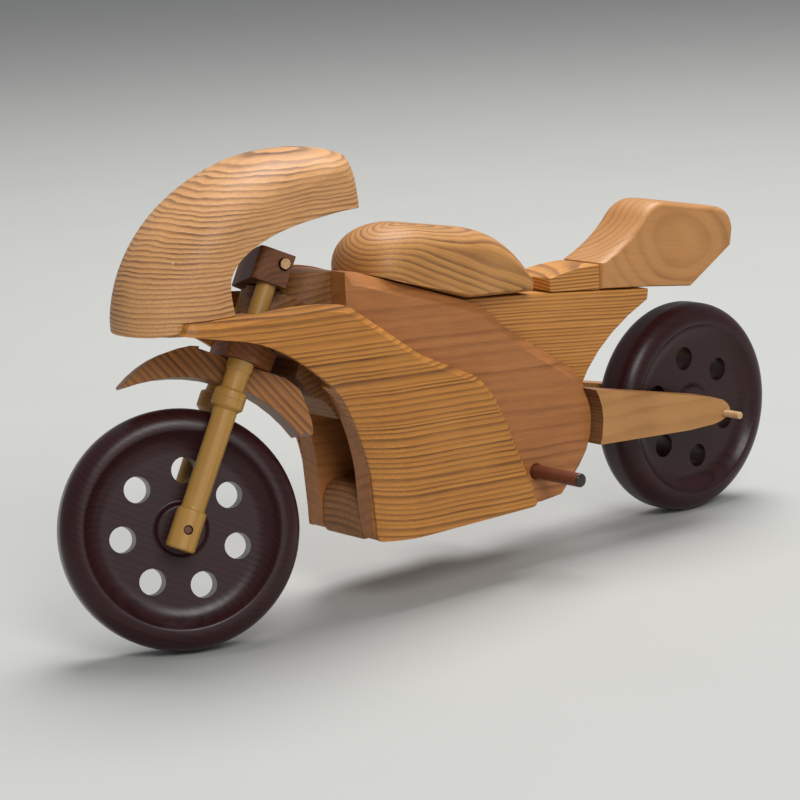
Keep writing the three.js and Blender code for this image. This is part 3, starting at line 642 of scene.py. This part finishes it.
plate = {"outer": 21.9, "chamfer": 5.6, "chamferAbove": 86, "chamferBehind": 52, "front": -74,
         "foot": 60, "ease": 0.8}
plateLook = varied(
    plainPine, early=(0.44, 0.167, 0.044), late=(0.19, 0.058, 0.013), ring=4.5, turn=(6, 5, 3),
    layer=softLayer, wave=5, waveAlong=12, faintest=0.2, patchy=0.3, streak=0.5,
    streakColour=(0.25, 0.088, 0.026), cloud=0.35, cloudColour=(0.43, 0.18, 0.060), fibre=0.10,
    pores=0.3, nicks=0.04, roughness=0.45, ringRelief=0.2, fibreRelief=0.3)


def chamferedEdge(edge):
    p = plate
    return all(abs(v.co.y) > p["outer"] * mm and v.co.x > p["front"] * mm
               and (v.co.z > p["chamferAbove"] * mm or v.co.x > p["chamferBehind"] * mm)
               for v in edge.verts)


def footEdge(edge):
    return all(v.co.z < plate["foot"] * mm for v in edge.verts)


for side, sign in (("left", -1), ("right", 1)):
    bm = sawnFromNode("engine_plate_" + side)
    roundOver(bm, plate["chamfer"], 1, 30, chamferedEdge, False)
    roundOver(bm, plate["ease"], 2, 45, footEdge)
    look = varied(plateLook, pith=(-20, 60 * sign, -60))
    finishPiece("sawn_plate_" + side, bm, woodFinish("plate_wood_" + side, look, bodyPlace), "frame",
                ["engine_plate_" + side], sharp=20)

blockLook = varied(
    plainPine, early=(0.26, 0.108, 0.031), late=(0.10, 0.034, 0.009), ring=2.6,
    pith=(-60, 40, -40), turn=(0, 0, 90), streak=0.5, streakColour=(0.21, 0.085, 0.028),
    cloud=0.5, cloudColour=(0.37, 0.185, 0.078), fibre=0.2, pores=0.4, nicks=0.05,
    nickColour=(0.42, 0.27, 0.17), roughness=0.62, ringRelief=0.5, fibreRelief=0.7)
bellyLook = varied(blockLook, early=(0.38, 0.160, 0.050), pith=(-120, 0, -10), turn=(0, 40, 0))
seatLook = varied(plainPine, ring=1.6, pith=(60, 10, -40), turn=(0, 4, 0), uneven=0.7, wave=1.2,
                  early=(0.64, 0.285, 0.056), late=(0.17, 0.056, 0.011))
plankLook = varied(plainPine, ring=1.6, pith=(40, 20, -60), turn=(0, 6, 0), uneven=0.7, wave=1.8,
                   early=(0.62, 0.270, 0.056), late=(0.14, 0.042, 0.008), faintest=0.5)
armLook = varied(tailLook, pith=(100, 20, 30), turn=(0, 2, 0), draw=0.1, ring=4.2,
                 early=(0.42, 0.195, 0.060), late=(0.26, 0.105, 0.027))
# Darker wood for the swingarms' fish-mouthed ends: their end grain, and painted shade in the hollow cut.
mouthGrainAndShadeLook = varied(blockLook, early=(0.16, 0.066, 0.022), late=(0.05, 0.018, 0.006), ring=1.6,
                   pith=(60, -20, 20))
swingarm = {"mouthBefore": 85, "mouthForward": 4, "ease": 2.2}
for node, look, slot, edge in (
        ("head_block", blockLook, "brown_block", 0.8),
        ("belly_block", bellyLook, "brown_block", 0.8),
        ("frame_plank", plankLook, "pine", 0.7),
        ("seat_pad", seatLook, "pine", 0.7),
        ("swingarm_left", armLook, "pale_pine", swingarm["ease"]),
        ("swingarm_right", varied(armLook, pith=(100, -20, 30)), "pale_pine", swingarm["ease"])):
    bm = sawnFromNode(node)
    if node.startswith("swingarm"):  # drawn forward, so it runs into the plate
        mouth = [v for v in bm.verts if v.co.x < swingarm["mouthBefore"] * mm]
        bmesh.ops.translate(bm, verts=mouth, vec=(-swingarm["mouthForward"] * mm, 0, 0))
    roundOver(bm, edge, 3, 40)
    finish = woodFinish(node + "_wood", look, bodyPlace)
    board = finishPiece(node + "_sawn", bm, finish, "frame", [node])
    if node.startswith("swingarm"):  # the fish-mouthed end is darker: its end grain, and painted shade in the hollow of the cut
        board.data.materials.append(woodFinish(node + "_mouth", mouthGrainAndShadeLook, bodyPlace))
        for face in board.data.polygons:
            face.material_index = int(face.normal.x < -0.5)

# Footpegs and the rear axle
peg = {"radius": 3.1, "root": 14, "end": 51, "back": 28.5, "up": 43.5, "endRound": 0.9, "stainedEnd": 1.1}
# The peg ends are stained near black; their many pale specks are painted highlights.
pegEndLook = varied(redLook, early=(0.028, 0.011, 0.009), late=(0.014, 0.006, 0.005), streak=0.0, cloud=0.0,
                    roughness=0.22, nicks=0.35, nickColour=(0.50, 0.45, 0.42))
for side, sign in (("left", -1), ("right", 1)):
    bm = dowel(peg["radius"], peg["end"] - peg["root"], peg["endRound"], 40)
    root = Vector((peg["back"] * mm, sign * peg["root"] * mm, peg["up"] * mm))
    place = bodyPlace @ Matrix.Translation(root)
    place = place @ Matrix.Rotation(math.radians(-90 * sign), 4, "X")
    footpeg = finishPiece("peg_" + side, bm, woodFinish("peg_stain_" + side, redLook, place), "frame",
                          ["footpeg_" + side], place)
    footpeg.data.materials.append(woodFinish("peg_end_" + side, pegEndLook, place))
    for face in footpeg.data.polygons:
        face.material_index = int(abs(face.center.y) > (peg["end"] - peg["stainedEnd"]) * mm)

rearAxle = {"radius": 1.7, "half": 38, "endRound": 0.5}
place = Matrix.Translation((rearHub.x, -rearAxle["half"] * mm, rearHub.z)) @ layOnY
paleLook = varied(legLook, early=(0.66, 0.44, 0.23), late=(0.50, 0.30, 0.13), turn=(0, 0, 90),
                  roughness=0.6)
bm = dowel(rearAxle["radius"], 2 * rearAxle["half"], rearAxle["endRound"])
finishPiece("rear_axle_dowel", bm, woodFinish("axle_pale", paleLook, place), "frame", ["rear_axle"],
            place)
print("boards and dowels done")


paperSheet = {"radius": 14, "dark": (0.438, 0.438, 0.415), "light": (0.466, 0.466, 0.443),
              "roughness": 0.75}  # the radius is in metres
floorBm = bmesh.new()
bmesh.ops.create_circle(floorBm, cap_ends=True, segments=96, radius=paperSheet["radius"])
floorPiece = meshObject("floor", floorBm)
floorFinish = bpy.data.materials.new("paper")
floorFinish.use_nodes = True
tree = floorFinish.node_tree
paper = tree.nodes["Principled BSDF"]
paperPlace = addNode(tree, "ShaderNodeTexCoord").outputs["Object"]
paperCloud = noise(tree, paperPlace, 6.0, 3.0)
paperColour = mixed(tree, paperCloud, paperSheet["dark"], paperSheet["light"])
link(tree, paperColour, paper.inputs["Base Color"])
paper.inputs["Roughness"].default_value = paperSheet["roughness"]
floorPiece.data.materials.append(floorFinish)

lights = [
    {"name": "overhead", "place": (0.75, 0.45, 2.3), "aim": (0.2, 0.3, 0.1), "size": 1.7, "power": 63},
    {"name": "front", "place": (-0.75, -1.7, 1.5), "aim": (0, 0, 0.1), "size": 1.0, "power": 24},
    {"name": "low", "place": (-0.45, -1.9, 0.55), "aim": (-0.1, 0, 0.05), "size": 1.1, "power": 2.5},
]
for lamp in lights:
    data = bpy.data.lights.new(lamp["name"], "AREA")
    data.shape, data.size, data.energy = "DISK", lamp["size"], lamp["power"]
    lampObject = bpy.data.objects.new(lamp["name"], data)
    lampObject.location = lamp["place"]
    toAim = Vector(lamp["aim"]) - Vector(lamp["place"])
    lampObject.rotation_euler = toAim.to_track_quat("-Z", "Y").to_euler()
    bpy.context.scene.collection.objects.link(lampObject)
studio = {"colour": (0.93, 0.95, 1.0, 1), "strength": 0.33}
world = bpy.data.worlds.new("studio")
world.use_nodes = True
background = world.node_tree.nodes["Background"]
background.inputs["Color"].default_value = studio["colour"]
background.inputs["Strength"].default_value = studio["strength"]
bpy.context.scene.world = world
bpy.context.scene.view_settings.view_transform = "Standard"

view = {"place": (-795.27, -905.94, 331.98), "yaw": 40.2023, "pitch": 11.8226, "roll": -2.9766,
        "lens": 124.93, "sensor": 36}
yaw, pitch, roll = (math.radians(view[key]) for key in ("yaw", "pitch", "roll"))
ahead = Vector((math.sin(yaw) * math.cos(pitch), math.cos(yaw) * math.cos(pitch), -math.sin(pitch)))
levelRight = Vector((math.cos(yaw), -math.sin(yaw), 0))
levelUp = levelRight.cross(ahead)
right = math.cos(roll) * levelRight + math.sin(roll) * levelUp
up = -math.sin(roll) * levelRight + math.cos(roll) * levelUp
cameraData = bpy.data.cameras.new("camera")
cameraData.lens, cameraData.sensor_width = view["lens"], view["sensor"]
cameraObject = bpy.data.objects.new("camera", cameraData)
cameraObject.matrix_world = basis(right, up, -ahead, Vector(view["place"]) * mm)
bpy.context.scene.collection.objects.link(cameraObject)
bpy.context.scene.camera = cameraObject

bpy.context.view_layer.update()
print("scene ready")
